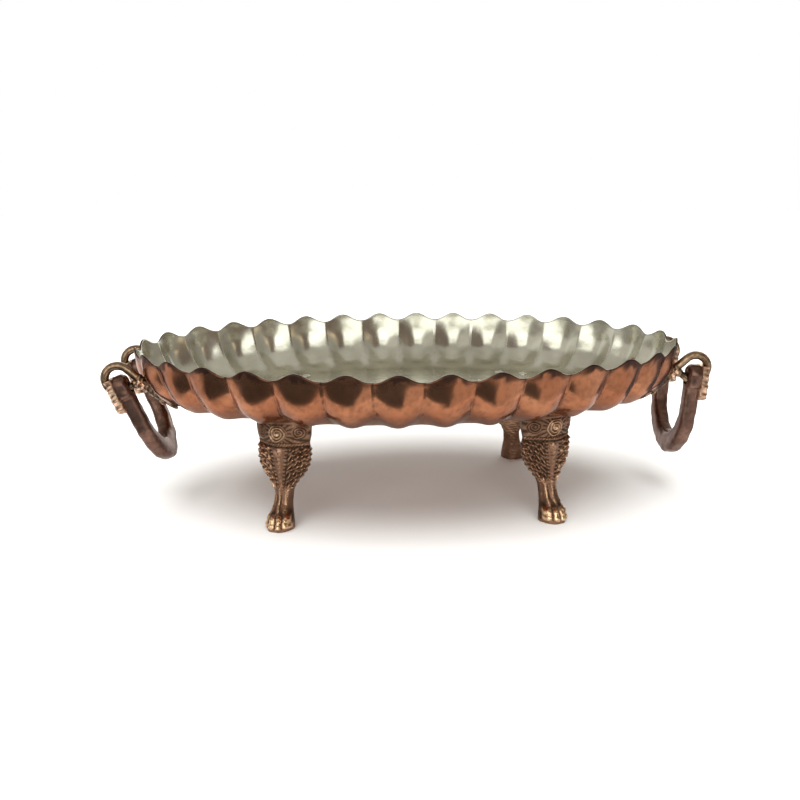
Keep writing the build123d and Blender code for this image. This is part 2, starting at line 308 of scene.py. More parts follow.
COPPER = metal(
    "worked_copper",
    ((0.25, (0.28, 0.100, 0.048)), (0.5, (0.35, 0.137, 0.068)), (0.75, (0.44, 0.19, 0.098))),
    (0.13, 0.27), 34.0, grime=(0.17, 0.07, 0.04), grime_share=(0.45, 0.75),
    shade_and_mark_colour=(0.055, 0.028, 0.02), hammer=90.0, bump_strength=0.25, bump_depth=0.0006,
)
# dark colour: painted shade along the ridges inside, and the darker band by the rim
TIN = metal(
    "wiped_tin",
    ((0.25, (0.51, 0.49, 0.405)), (0.5, (0.63, 0.61, 0.515)), (0.75, (0.74, 0.72, 0.625))),
    (0.17, 0.32), 30.0, grime=(0.37, 0.33, 0.25), grime_share=(0.62, 0.90),
    shade_and_mark_colour=(0.10, 0.075, 0.055), hammer=90.0, bump_strength=0.3, bump_depth=0.0006,
)
# dark colour: painted shade in the recesses, on the back and on the top band; light golden colour: painted glints
# on the high relief
LEG = metal(
    "cast_leg_bronze",
    ((0.25, (0.20, 0.104, 0.064)), (0.5, (0.29, 0.158, 0.100)), (0.75, (0.41, 0.235, 0.150))),
    (0.16, 0.36), 70.0, grime=(0.13, 0.075, 0.045), grime_share=(0.55, 0.85),
    shade_and_mark_colour=(0.060, 0.036, 0.023), painted_glint=(0.86, 0.60, 0.36), hammer=420.0,
    bump_strength=0.45, bump_depth=0.0003,
)
# dark colour: painted shade in the strap's recesses and at the ball's neck
HOOK = metal(
    "forged_hook_bronze",
    ((0.25, (0.20, 0.125, 0.075)), (0.5, (0.32, 0.21, 0.13)), (0.75, (0.45, 0.31, 0.19))),
    (0.20, 0.40), 70.0, grime=(0.08, 0.045, 0.03), hammer=260.0,
    shade_and_mark_colour=(0.03, 0.018, 0.012), bump_strength=0.3, bump_depth=0.0003,
)
BAIL = metal(
    "cast_bail_copper",
    ((0.25, (0.125, 0.070, 0.052)), (0.5, (0.18, 0.100, 0.075)), (0.75, (0.27, 0.155, 0.115))),
    (0.28, 0.46), 60.0, grime=(0.07, 0.038, 0.028), hammer=220.0,
    shade_and_mark_colour=(0.04, 0.02, 0.014), bump_strength=0.35, bump_depth=0.0004,
)
# far brighter than the bail it is cast with: a painted highlight on the leaves and beads; dark colour: painted
# shade between the veins and under the leaves
LEAF = metal(
    "leaf_copper_painted_highlight",
    ((0.25, (0.74, 0.44, 0.29)), (0.5, (0.88, 0.58, 0.40)), (0.75, (0.97, 0.72, 0.52))),
    (0.26, 0.42), 90.0, grime=(0.30, 0.15, 0.09), grime_share=(0.55, 0.85), hammer=300.0,
    shade_and_mark_colour=(0.06, 0.03, 0.02), bump_strength=0.3, bump_depth=0.0003,
)
RIVET = metal(
    "rivet_copper",
    ((0.3, (0.45, 0.22, 0.14)), (0.7, (0.62, 0.34, 0.22))),
    (0.25, 0.42), 160.0, grime=(0.12, 0.06, 0.04), hammer=500.0,
    bump_strength=0.3, bump_depth=0.0002,
)


def set_share(piece, name, values):
    """Per-vertex 0 to 1: how much painted shade (on the tray also darker marks) a vertex takes, or how much
    painted glint a high part takes.
    """
    attribute = piece.data.attributes.new(name, "FLOAT", "POINT")
    full = np.zeros(len(piece.data.vertices), np.float32)
    values = np.clip(np.asarray(values, float).ravel(), 0, 1)
    full[:len(values)] = values
    attribute.data.foreach_set("value", full)


# ---- tray ----
WALL = (      # height above the floor, inset of a crease from the rim, bulge of a flute at an end and at a side
    (0.0, 38.5, 1.5, 1.8),
    (1.2, 33.0, 3.0, 3.6),
    (5.0, 24.5, 4.6, 5.6),
    (14.0, 12.7, 5.4, 6.9),
    (20.0, 8.3, 5.1, 6.1),
    (26.0, 5.0, 4.6, 4.9),
    (33.0, 2.5, 3.2, 3.2),
    (39.6, 0.2, 1.5, 1.5),
    (45.0, -0.5, 0.9, 0.9),
)
WALL_LEVELS = np.concatenate([np.linspace(0, 0.2, 10)[:-1], np.linspace(0.2, 1.0, 34)])
FLOOR_SHARES = np.linspace(0.04, 1.0, 22)[:-1]
OUTSIDE_SOFTNESS = 0.12
INSIDE_SOFTNESS = 0.40
LINING = 0.25             # the copper stops this far short of the tin's face
DENT = 0.10               # depth of the dents in floor and wall


def hermite(xs, ys, x):
    """Monotone smooth curve through the points (xs, ys)."""
    xs = np.asarray(xs, float)
    ys = np.asarray(ys, float)
    gaps = np.diff(xs)
    slopes = np.diff(ys) / gaps
    tangents = np.zeros(len(xs))
    tangents[0], tangents[-1] = slopes[0], slopes[-1]
    for i in range(1, len(xs) - 1):
        if slopes[i - 1] * slopes[i] > 0:
            tangents[i] = 2 * slopes[i - 1] * slopes[i] / (slopes[i - 1] + slopes[i])
    i = np.clip(np.searchsorted(xs, x) - 1, 0, len(gaps) - 1)
    t = (x - xs[i]) / gaps[i]
    return ((2 * t**3 - 3 * t**2 + 1) * ys[i] + (t**3 - 2 * t**2 + t) * gaps[i] * tangents[i]
            + (3 * t**2 - 2 * t**3) * ys[i + 1] + (t**3 - t**2) * gaps[i] * tangents[i + 1])


def ellipse_angles(count):
    """Angles of points equally spaced round the rim's ellipse, from +X."""
    t = np.linspace(0, TAU, 8001)
    step = np.hypot(np.diff(HALF_LENGTH * np.cos(t)), np.diff(HALF_WIDTH * np.sin(t)))
    length = np.concatenate([[0], np.cumsum(step)])
    return np.interp(np.arange(count) / count * length[-1], length, t)


def wall_points(depth, softness):
    """Wall from the floor's edge to the rim, as (rows, columns, 3), pushed in by depth.

    softness, 0 to 1, says how round the creases are at the rim; they are rounder near the floor.
    """
    columns = FLUTES * PER_FLUTE
    angle = ellipse_angles(columns)
    across = (np.arange(columns) % PER_FLUTE) / PER_FLUTE
    foot = np.stack([HALF_LENGTH * np.cos(angle), HALF_WIDTH * np.sin(angle)], 1)
    normal = np.stack([np.cos(angle) / HALF_LENGTH, np.sin(angle) / HALF_WIDTH], 1)
    normal /= np.linalg.norm(normal, axis=1)[:, None]
    rises = [row[0] for row in WALL]
    insets = [row[1] for row in WALL]
    bulges = [row[2] for row in WALL]
    side_bulges = [row[3] for row in WALL]
    sideways = smoothstep(0.30, 0.75, np.abs(np.sin(angle)))
    crest = np.sin(math.pi * across) ** 2.2
    top = rises[-2] + RIM_WAVE * (2 * crest - 1)
    arch = 1 - (2 * across - 1) ** 2
    swell = 0.5 - 0.5 * np.cos(TAU * across)
    rows = []
    for level in WALL_LEVELS:
        rise = top * level
        inset = hermite(rises, insets, rise)
        slope = (hermite(rises, insets, rise + 0.5) - inset) / 0.5
        bulge = hermite(rises, bulges, rise)
        bulge = bulge + (hermite(rises, side_bulges, rise) - bulge) * sideways
        lean = 1 / np.sqrt(1 + slope**2)
        outward = foot - normal * inset[:, None]
        soft = softness + (1 - softness) * smoothstep(16.0, 1.0, rise)
        push = bulge * (arch + (swell - arch) * soft) - depth
        flat = outward + normal * (push * (0.35 + 0.65 * lean))[:, None]
        z = FLOOR_Z + rise + (push * slope * lean * 0.65) * smoothstep(0.0, 7.0, rise)
        z = z + depth * smoothstep(7.0, 0.0, rise)
        rows.append(np.concatenate([flat, z[:, None]], 1))
    return np.array(rows)


def floor_points(edge, height):
    """Rows from the middle of the floor out to the wall's first row."""
    rows = []
    for share in FLOOR_SHARES:
        row = edge.copy()
        row[:, :2] = edge[:, :2] * share
        ripple = smoothstep(0.97, 0.80, np.full(len(edge), share))
        row[:, 2] = edge[:, 2] * (1 - ripple) + height * ripple
        rows.append(row)
    return np.array(rows)


def tray_surface(depth, softness):
    """Floor and wall in one grid, with shallow dents."""
    wall = wall_points(depth, softness)
    floor = floor_points(wall[0], FLOOR_Z + depth)
    surface = np.concatenate([floor, wall])
    surface[:, :, 2] += DENT * lumps(surface, 15.0, 3)
    surface[:, :, :2] *= 1 + (DENT * lumps(surface, 13.0, 5))[:, :, None] / 150
    return surface


def shell(name, outer, inner, material, outer_shade_and_marks, inner_shade_and_marks):
    """Closed sheet between two surfaces of equal rows and columns."""
    rows, columns = outer.shape[:2]
    points = np.concatenate([outer.reshape(-1, 3), inner.reshape(-1, 3)]).tolist()
    half = rows * columns
    faces = grid_faces(rows, columns, flip=False)
    faces += grid_faces(rows, columns, start=half, flip=True)
    rim = (rows - 1) * columns
    for j in range(columns):
        k = (j + 1) % columns
        faces.append((rim + j, rim + k, half + rim + k, half + rim + j))
    points.append(outer[0].mean(0).tolist())
    points.append(inner[0].mean(0).tolist())
    for j in range(columns):
        k = (j + 1) % columns
        faces.append((2 * half, k, j))
        faces.append((2 * half + 1, half + j, half + k))
    piece = mesh_object(name, points, faces, material)
    set_share(piece, "shade_and_marks", np.concatenate([outer_shade_and_marks.ravel(), inner_shade_and_marks.ravel()]))
    fix_normals(piece)
    return piece


def tray():
    """Copper sheet and tin lining. The copper is painted with shade along its creases and on its hidden inner
    face, and is darker along the rim, with faint streaks; the tin has painted shade along its ridges and a darker
    band by the rim.
    """
    outer = tray_surface(0.0, OUTSIDE_SOFTNESS)
    middle = tray_surface(SHEET - LINING, INSIDE_SOFTNESS)
    skin = tray_surface(SHEET, INSIDE_SOFTNESS)
    under_skin = middle + (skin - middle) * 0.1
    rows, columns = outer.shape[:2]
    across = (np.arange(columns) % PER_FLUTE) / PER_FLUTE
    from_crease = np.minimum(across, 1 - across)[None, :] * np.ones((rows, 1))
    up = np.clip((outer[:, :, 2] - FLOOR_Z) / (RIM_Z - FLOOR_Z), 0, 1.2)
    below_rim = outer[-1, :, 2][None, :] - outer[:, :, 2]
    crown = np.sin(math.pi * across)[None, :] ** 1.5
    ragged = np.clip(0.5 + 0.6 * lumps(outer, 9.0, 11), 0, 1)
    reach = 1.6 + 8.5 * ragged * (0.25 + 0.75 * crown)
    # a darker band along the rim, stronger on the crowns
    edge = smoothstep(reach, 0.35 * reach, below_rim) * (up > 0.3)
    # painted shade along the creases
    crease = smoothstep(0.055, 0.0, from_crease) * smoothstep(0.05, 0.3, up)
    copper_shade_and_marks = np.clip(edge * (0.35 + 0.65 * crown) + 0.7 * crease * ragged, 0, 1)
    streak = np.clip(lumps(outer * np.array([1.0, 1.0, 0.12]), 2.6, 17), 0, 1) * (up > 0.02)
    copper_shade_and_marks = np.clip(copper_shade_and_marks + 0.22 * streak, 0, 1)
    # the tin's darker band by the rim, stronger on the crowns, and painted shade along its ridges at the creases
    lip = smoothstep(1.6, 0.3, below_rim) * (up > 0.3)
    tin_shade_and_marks = np.clip(lip * (0.15 + 0.75 * crown) * (0.4 + 0.6 * ragged) + 0.3 * crease * ragged, 0, 1)
    # the copper's hidden inner face, between copper and tin, is painted fully shaded
    copper = shell("tray_copper", outer, middle, COPPER, copper_shade_and_marks, np.ones_like(copper_shade_and_marks))
    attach(copper, "tray")
    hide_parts("tray_body")
    tin = shell("tray_tin_lining", under_skin, skin, TIN, tin_shade_and_marks, tin_shade_and_marks)
    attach(tin, "tray")
    return copper


tray_piece = tray()

# ---- legs ----
LEAF_LOW, LEAF_HIGH = 25.0, 58.3             # heights of the feathered part
MOULDING_Z = 59.6
ROSETTE_Z, ROSETTE_R = 67.8, 6.8
SCROLL_X, SCROLL_Z, SCROLL_R = 13.8, 68.2, 5.2
PLATE_HALF, PLATE_BACK = (14.5, 9.0), 6.6    # of the plate on top of a leg
FRONT_POINTS, BACK_POINTS = 112, 20
LEG_LEVELS = (0, 2.5, 6, 12, 18, 24, 31, 38, 46, 55, 59, 66, 72, FLOOR_Z)
LEG_SHAPE = {             # at each level: half width, front, side edges and back
    "half": (9.6, 9.8, 9.4, 8.2, 7.0, 6.8, 9.8, 15.4, 19.1, 20.0, 18.8, 20.2, 20.6, 19.8),
    "front": (16.9, 17.2, 16.4, 12.6, 8.0, 5.8, 5.3, 5.9, 6.5, 6.9, 6.7, 7.0, 7.2, 7.2),
    "side": (6.5, 6.5, 6.3, 4.6, 2.2, 0.4, -0.5, -1.5, -2.5, -3.0, -3.0, -3.0, -3.0, -3.0),
    "back": (-2.6, -2.6, -2.6, -2.6, -2.6, -2.6, -2.4, -1.2, 1.5, 3.4, 3.5, 3.5, 3.5, 3.5),
    "power": (3.2, 3.2, 3.0, 2.6, 2.2, 2.0, 1.8, 1.6, 1.45, 1.45, 1.6, 1.7, 1.8, 1.8),
}


def bell(value, width):
    """1 where value is 0, falling away on both sides."""
    return np.exp(-((value / width) ** 2))


def wave(value, pitch):
    """0 to 1 and back over each pitch, 1 where value is 0."""
    return 0.5 + 0.5 * np.cos(TAU * value / pitch)


def feathers(x, z):
    """Relief of the wing-like part: a plain shaft, two rows of beads and slanting feather strokes."""
    side = np.abs(x)
    row = 2.1 + 0.15 * np.clip(z - 30, 0, 30)                  # bead rows spread upwards from the ankle
    ridge = bell(x, 0.9) * (0.6 + 0.4 * np.cos(TAU * z / 3.1))
    shaft = smoothstep(row - 0.4, row - 1.4, side) * (0.45 + 0.4 * ridge)
    beads = 1.15 * bell(side - row, 0.8) * wave(z, 2.7) ** 0.7
    past = np.clip(side - row - 1.0, 0, None)
    stroke = z - 1.05 * past + 0.035 * past**2 + 0.5 * np.sin(1.7 * past)
    vein = wave(stroke, 3.5) ** 1.4
    barb = wave(past - 0.30 * z, 2.3)
    wing = smoothstep(0.0, 0.8, past) * (0.45 * vein + 1.25 * barb * vein + 0.25 * barb)
    crest = 0.9 * bell(np.hypot(x, 1.4 * (z - 54.0)), 2.4)
    return shaft + beads + wing + crest


def head_band(x, z):
    """Relief of the band at the top: a rosette in the middle, a scroll each side and petals between."""
    side = np.abs(x)
    away = np.hypot(x, z - ROSETTE_Z)
    turn = np.arctan2(z - ROSETTE_Z, x)
    disc = smoothstep(ROSETTE_R, ROSETTE_R - 0.6, away)
    spiral = (0.5 + 0.5 * np.cos(TAU * away / 1.9 - turn)) ** 0.8
    rosette = disc * (0.9 + 0.95 * spiral) + 1.2 * bell(away, 1.1)
    corner = np.hypot(side - SCROLL_X, z - SCROLL_Z)
    corner_turn = np.arctan2(z - SCROLL_Z, side - SCROLL_X)
    inside = smoothstep(SCROLL_R, SCROLL_R - 0.6, corner)
    scroll = inside * (0.3 + 0.8 * (0.5 + 0.5 * np.cos(TAU * corner / 1.7 + corner_turn)))
    petals = (1 - disc) * (1 - inside) * (0.35 + 0.5 * (0.5 + 0.5 * np.cos(19 * turn)))
    return rosette + scroll + petals


def leg_relief(x, z, half):
    """Relief of the cast ornament, its painted shade and its painted glints, for arrays x and z and the leg's
    half width.
    """
    relief = smoothstep(LEAF_LOW, LEAF_LOW + 4, z) * smoothstep(LEAF_HIGH, LEAF_HIGH - 1.3, z) * feathers(x, z)
    tendon = smoothstep(10, 15, z) * smoothstep(32, 26, z)
    relief = relief + tendon * 1.05 * wave(x, 0.64 * half) ** 1.2
    toe = np.abs(np.sin(math.pi * 2 * (x / half + 1))) ** 0.7
    knuckle = bell(z - 8.3, 2.7) + bell(z - 3.9, 1.9)
    relief = relief + smoothstep(14, 11, z) * smoothstep(1.4, 2.4, z) * 1.9 * toe * knuckle
    ring = np.sqrt(np.clip(1 - ((z - MOULDING_Z) / 1.2) ** 2, 0, 1))
    relief = relief + ring * (0.75 + 0.45 * np.cos(TAU * (x + 0.8 * z) / 1.9))
    relief = relief + smoothstep(60.8, 61.4, z) * smoothstep(74.8, 74.0, z) * head_band(x, z)
    relief = relief + smoothstep(74.2, 74.8, z) * 0.9
    # painted shade: dark in the recesses, less on the ankle's tendons, and over the band at the top, under the
    # tray
    low = smoothstep(0.8, 0.1, relief) * smoothstep(1.6, 3.0, z)
    low = low * (1 - 0.65 * smoothstep(12, 16, z) * smoothstep(32, 28, z))
    low = np.clip(low + 0.30 * smoothstep(60.5, 62.0, z), 0, 1)
    # painted glints on the highest relief, more readily on the foot
    foot = smoothstep(30.0, 24.0, z)
    high = smoothstep(1.35 - 0.55 * foot, 2.1 - 0.75 * foot, relief)
    high = high * smoothstep(1.2, 2.2, z) * smoothstep(74.0, 73.0, z)
    return relief, low, high


def top_plate():
    """Rings of the rounded plate that lies under the tray's floor."""
    rings = []
    for z, grow in ((71.6, -0.5), (72.0, 0.0), (FLOOR_Z - 0.4, 0.0), (FLOOR_Z, -0.4)):
        outline = []
        for a in np.arange(36) / 36 * TAU:
            c, d = math.cos(a), math.sin(a)
            outline.append((math.copysign(abs(c) ** 0.45, c) * (PLATE_HALF[0] + grow),
                            math.copysign(abs(d) ** 0.45, d) * (PLATE_HALF[1] + grow) - PLATE_BACK, z))
        rings.append(outline)
    return rings


def leg_mesh():
    """Leg that faces +Y, standing on the origin."""
    levels = np.concatenate([np.linspace(0, 14, 40), np.linspace(14.4, 26, 22), np.linspace(26.4, FLOOR_Z, 150)])
    across = np.sin(np.linspace(-math.pi / 2, math.pi / 2, FRONT_POINTS))
    across = 0.35 * across + 0.65 * np.linspace(-1, 1, FRONT_POINTS)
    behind = np.linspace(1, -1, BACK_POINTS)
    rings, shade_and_marks, painted_glint = [], [], []
    for z in levels:
        half, front, side, back, power = (hermite(LEG_LEVELS, LEG_SHAPE[key], z) for key in
                                          ("half", "front", "side", "back", "power"))
        lobe = smoothstep(26, 32, z) * smoothstep(58, 55, z)
        half = half + lobe * 0.55 * math.cos(TAU * z / 4.0 + 0.6)
        x = half * across
        y = side + (front - side) * (1 - np.abs(across) ** power)
        slope = np.gradient(y, x)
        place = np.stack([x, np.zeros_like(x), np.full_like(x, z)], 1)
        shifted_x = x + 0.35 * lumps(place, 9.0, 24)
        shifted_z = z + 0.35 * lumps(place, 9.0, 25)
        relief, low, high = leg_relief(shifted_x, shifted_z, half)
        relief = relief * (0.35 + 0.65 * smoothstep(1.0, 0.9, np.abs(across))) - 0.55 * smoothstep(2, 4, z)
        long = np.sqrt(1 + slope**2)
        front_row = np.stack([x - relief * slope / long, y + relief / long, np.full_like(x, z)], 1)
        hind = side - 3.0 + (back - side + 3.0) * (1 - behind**2)
        hind_row = np.stack([half * behind * 0.985, hind, np.full_like(behind, z)], 1)
        rings.append(np.concatenate([front_row, hind_row]))
        # painted shade: the back of the leg is a little darker all over
        shade_and_marks.append(np.concatenate([low, np.full(BACK_POINTS, 0.35)]))
        painted_glint.append(np.concatenate([high, np.zeros(BACK_POINTS)]))
    rings = np.array(rings)
    grain = lumps(rings, 2.0, 21)
    worn = lumps(rings, 14.0, 22)
    z = rings[:, :, 2]
    rings[:, :, 1] += smoothstep(1.2, 3.0, z) * smoothstep(FLOOR_Z - 0.2, FLOOR_Z - 1.5, z) * (
        0.16 * grain + 0.18 * worn)
    piece = mesh_object("leg_pattern", *joined([ring_body(rings), ring_body(top_plate())]), LEG)
    set_share(piece, "shade_and_marks", np.array(shade_and_marks))
    set_share(piece, "painted_glint", np.array(painted_glint))
    fix_normals(piece)
    return piece


def leg_facing(side_x, side_y):
    """Directions in which a leg faces and across it."""
    facing = Vector((side_x * math.sin(LEG_TURN), side_y * math.cos(LEG_TURN), 0))
    return facing, facing.cross(Vector((0, 0, 1)))


def legs():
    """The four legs share one mesh."""
    pattern = leg_mesh()
    for end, side_y in ENDS:
        for side, side_x in SIDES:
            name = end + "_" + side
            facing, across = leg_facing(side_x, side_y)
            turned = Matrix((across, facing, Vector((0, 0, 1)))).transposed().to_4x4()
            piece = bpy.data.objects.new(name + "_paw_leg", pattern.data)
            bpy.context.scene.collection.objects.link(piece)
            piece.matrix_world = Matrix.Translation(Vector((side_x * LEG_X, side_y * LEG_Y, 0)) * MM) @ turned
            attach(piece, "tray")
            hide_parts(name + "_leg")
    bpy.data.objects.remove(pattern)


legs()


# ---- hooks ----
STRAP_STATIONS = (0, 6, 9, 10.5, 12, 13.5, 15, 18, 22, 27, 32, 37, 41, 43.5, 45)     # from the loop down
STRAP_HALF = (3.0, 3.0, 3.1, 3.9, 3.3, 4.1, 3.5, 5.0, 6.4, 6.5, 5.6, 4.0, 2.4, 1.2, 0.35)
STRAP_RISE = (3.0, 3.0, 3.0, 3.7, 3.0, 3.8, 3.1, 3.2, 3.2, 3.0, 2.8, 2.4, 1.9, 1.3, 0.5)
LOOP_END = math.radians(235.0)
TAIL = 8.0
BALL_R = 3.3
STRAP_DOWN = np.array([-math.cos(STRAP_SLOPE), 0, -math.sin(STRAP_SLOPE)])
STRAP_OUT = np.array([math.sin(STRAP_SLOPE), 0, -math.cos(STRAP_SLOPE)])
LOOP_CENTRE = np.array([LOOP_X, HOOK_Y, LOOP_Z])
STRAP_START = LOOP_CENTRE - LOOP_R * STRAP_OUT
STRAP_ROWS = 120
LEAF_PITCH = 4.6          # of the strap's leaf edge and veins
BEADS_FROM, BEADS_LONG = 9.6, 12.6
HOOK_RIVETS = (24.5, 34.0)                   # distances along the strap
ROUND = 28                # points round the rod
SUNK = 0.35               # the strap's underside lies this far inside the wall


def hook_rings():
    """Rings of the rear right hook from the strap's tip to the ball, and how much painted shade each point takes.
    """
    rings = []
    shade_and_marks = []
    angle = np.arange(ROUND) / ROUND * TAU
    cos, sin = np.cos(angle), np.sin(angle)
    for along in np.linspace(STRAP_STATIONS[-1], 0, STRAP_ROWS):
        half = hermite(STRAP_STATIONS, STRAP_HALF, along)
        rise = hermite(STRAP_STATIONS, STRAP_RISE, along)
        leaf = smoothstep(15.5, 19, along)
        half = half * (1 + 0.10 * leaf * math.cos(TAU * along / LEAF_PITCH))
        power = 1.0 - 0.35 * leaf
        y = half * np.sign(cos) * np.abs(cos) ** power
        n = rise * np.sign(sin) * np.abs(sin) ** power
        vein = wave(along + 0.9 * np.abs(y), LEAF_PITCH)
        relief = leaf * (0.55 * vein * smoothstep(0.6, 2.0, np.abs(y)) + 0.7 * bell(y, 0.9) - 0.5)
        n = n + np.where(sin > 0, relief * smoothstep(0.0, 0.5, sin), 0)
        n = np.where(sin < 0, np.maximum(n, -2.8), n)
        centre = STRAP_START + STRAP_DOWN * along
        rings.append(centre + np.outer(y, (0, 1, 0)) + np.outer(n, STRAP_OUT))
        # painted shade between the leaf's veins and in the grooves
        groove = 0.5 if 9 < along < 15 and rise < 3.3 else 0.0
        shade_and_marks.append(np.clip(leaf * (0.8 - vein) + groove, 0, 1))
    start, end = math.pi / 2 + STRAP_SLOPE, LOOP_END - TAU
    for a in np.linspace(start, end, 64)[1:]:
        radial = np.array([math.cos(a), 0, math.sin(a)])
        centre = LOOP_CENTRE + LOOP_R * radial
        radius = ROD_R * (0.98 + 0.015 * math.sin(5 * a) - 0.06 * smoothstep(-1.2, -2.1, a))
        rings.append(centre + np.outer(radius * cos, (0, 1, 0)) + np.outer(radius * sin, -radial))
        shade_and_marks.append(np.full(ROUND, 0.05))
    radial = np.array([math.cos(end), 0, math.sin(end)])
    ahead = np.array([math.sin(end), 0, -math.cos(end)])
    last = LOOP_CENTRE + LOOP_R * radial
    tail_r = ROD_R * 0.82
    stations = [(d, ROD_R * 0.94 + (tail_r - ROD_R * 0.94) * d / 5) for d in (1.0, 2.5, 4.0, 5.0)]
    first = -math.sqrt(1 - (tail_r / BALL_R) ** 2)
    stations += [(TAIL + BALL_R * t, BALL_R * math.sqrt(max(0.0, 1 - t * t)))
                 for t in np.sin(np.linspace(math.asin(first), math.pi / 2, 16))[:-1]]
    for d, radius in stations:
        rings.append(last + ahead * d + np.outer(radius * cos, (0, 1, 0)) + np.outer(radius * sin, -radial))
        # painted shade in the neck before the ball
        shade_and_marks.append(np.full(ROUND, 0.6 if abs(radius - tail_r) < 0.15 else 0.0))
    return np.array(rings), np.array(shade_and_marks)


def seat_on_wall(rings, tray_copper):
    """Moves strap points that lie inside the wall out to just under its outer face."""
    tree = BVHTree.FromPolygons([v.co[:] for v in tray_copper.data.vertices],
                                [p.vertices[:] for p in tray_copper.data.polygons])
    out = Vector(STRAP_OUT)
    for ring in rings:
        for k, point in enumerate(ring):
            place = Vector(point) * MM
            hit = tree.ray_cast(place + out * 0.03, -out, 0.08)[0]
            if hit is None:
                continue
            depth = (hit - place).dot(out) / MM
            if depth > SUNK:
                ring[k] = point + STRAP_OUT * (depth - SUNK)
    return rings


def bead_rings():
    """Row of three cast beads lying on the strap between the loop and the leaf."""
    rings = []
    angle = np.arange(ROUND) / ROUND * TAU
    for t in np.linspace(0.01, 0.99, 52):
        along = BEADS_FROM + BEADS_LONG * t
        round_end = math.sqrt(1 - (2 * t - 1) ** 6)
        lobe = abs(math.sin(3 * math.pi * t)) ** 0.55
        half = (2.6 + 2.3 * lobe + 0.5 * math.sin(math.pi * t)) * round_end
        rise = 1.2 + (2.0 + 2.0 * lobe) * round_end
        n = np.where(np.sin(angle) > 0, rise * np.abs(np.sin(angle)) ** 0.8, 1.2 * np.sin(angle))
        centre = STRAP_START + STRAP_DOWN * along
        rings.append(centre + np.outer(half * np.cos(angle), (0, 1, 0)) + np.outer(n, STRAP_OUT))
    return np.array(rings)


def hooks():
    """A hook and its beads at the rear right, and their mirror images at the other three places."""
    rings, shade_and_marks = hook_rings()
    bead_points, bead_faces = ring_body(bead_rings())
    rings[:STRAP_ROWS] = seat_on_wall(rings[:STRAP_ROWS], tray_piece)
    rings = rings + 0.07 * lumps(rings, 5.0, 31)[:, :, None]
    points, faces = ring_body(rings)
    for side, side_x in SIDES:
        for end, side_y in ENDS:
            mirror = np.array([side_x, side_y, 1])
            name = side + "_" + end
            piece = mesh_object(name + "_forged_hook", np.array(points) * mirror, faces, HOOK)
            set_share(piece, "shade_and_marks", shade_and_marks)
            fix_normals(piece)
            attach(piece, "tray")
            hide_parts(name + "_hook")
            beads = mesh_object(name + "_strap_beads", np.array(bead_points) * mirror, bead_faces, LEAF)
            fix_normals(beads)
            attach(beads, "tray")
            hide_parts(name + "_hook")


hooks()


# ---- bails ----
BAR_DEPTH = 11.4
EYE_R = 7.5
EYE_LONG = 4.6            # an eye is two round ends this far apart
BAIL_DROP = 74.0
BAIL_BOTTOM = 17.0
OUTER_TOP, OUTER_TURN = np.array([36.6, 9.5]), np.array([34.7, 38.0])
INNER_TOP, INNER_TURN = np.array([27.2, 9.5]), np.array([25.0, 32.0])
ARC_POINTS = 26
RUNNING_CLEARANCE = 1.15
LEAVES = ((-2.0, 24.5, 7.2, 6.6, 0.0), (15.0, 33.0, 6.3, 4.3, 1.7))    # top, bottom, half width, rise, phase
TIP = 0.9                 # a leaf is rounded off from this share of its length


def tangent_arc(start, direction, end, count):
    """Points of the arc from start, heading along direction, to end."""
    direction = direction / np.linalg.norm(direction)
    normal = np.array([direction[1], -direction[0]])
    if normal @ (end - start) < 0:
        normal = -normal
    chord = end - start
    radius = chord @ chord / (2 * (chord @ normal))
    centre = start + normal * radius
    a0 = math.atan2(*(start - centre)[::-1])
    a1 = math.atan2(*(end - centre)[::-1])
    return np.array([centre + radius * np.array([math.cos(a), math.sin(a)]) for a in np.linspace(a0, a1, count)])


def bail_stations():
    """Along one arm: centre (along the hinge, below it), direction across the bar, half width, depth share."""
    stations = []
    dome = LOOP_R - EYE_LONG
    heights = np.concatenate([
        dome - EYE_R * np.cos(np.linspace(0.12, math.pi / 2, 12)),
        np.linspace(5.6, 17.0, 15),
    ])
    for h in heights:
        from_middle = h - dome if h < dome else max(0.0, h - LOOP_R)
        half = math.sqrt(max(0.0, EYE_R**2 - from_middle**2))
        half = max(half, 4.65) if h > LOOP_R else half
        shift = 0.1 * smoothstep(9.5, 17.0, h) + 0.5 * smoothstep(12, 17, h)
        depth = 0.45 + 0.55 * math.sqrt(smoothstep(-3.0, 1.6, h))
        stations.append(((HOOK_Y - shift, h), (1.0, 0.0), half, depth))
    outer = np.concatenate([
        OUTER_TOP + (OUTER_TURN - OUTER_TOP) * np.linspace(0.33, 1, 12)[:-1, None],
        tangent_arc(OUTER_TURN, OUTER_TURN - OUTER_TOP, np.array([0.0, BAIL_DROP]), ARC_POINTS)])
    inner = np.concatenate([
        INNER_TOP + (INNER_TURN - INNER_TOP) * np.linspace(0.40, 1, 12)[:-1, None],
        tangent_arc(INNER_TURN, INNER_TURN - INNER_TOP, np.array([0.0, BAIL_DROP - BAIL_BOTTOM]), ARC_POINTS)])
    for far, near in zip(outer, inner):
        across = far - near
        half = np.linalg.norm(across) / 2
        stations.append((tuple((far + near) / 2), tuple(across / (2 * half)), half, 1.0))
    return stations


def bail_frame(side):
    """Middle of the hinge axis, and the directions up the hanging bail and outwards from it."""
    side_x = dict(SIDES)[side]
    hang = HANG[side]
    origin = np.array([side_x * LOOP_X, 0, LOOP_Z])
    up = np.array([side_x * math.sin(hang), 0, math.cos(hang)])
    out = np.array([side_x * math.cos(hang), 0, -math.sin(hang)])
    return origin, up, out


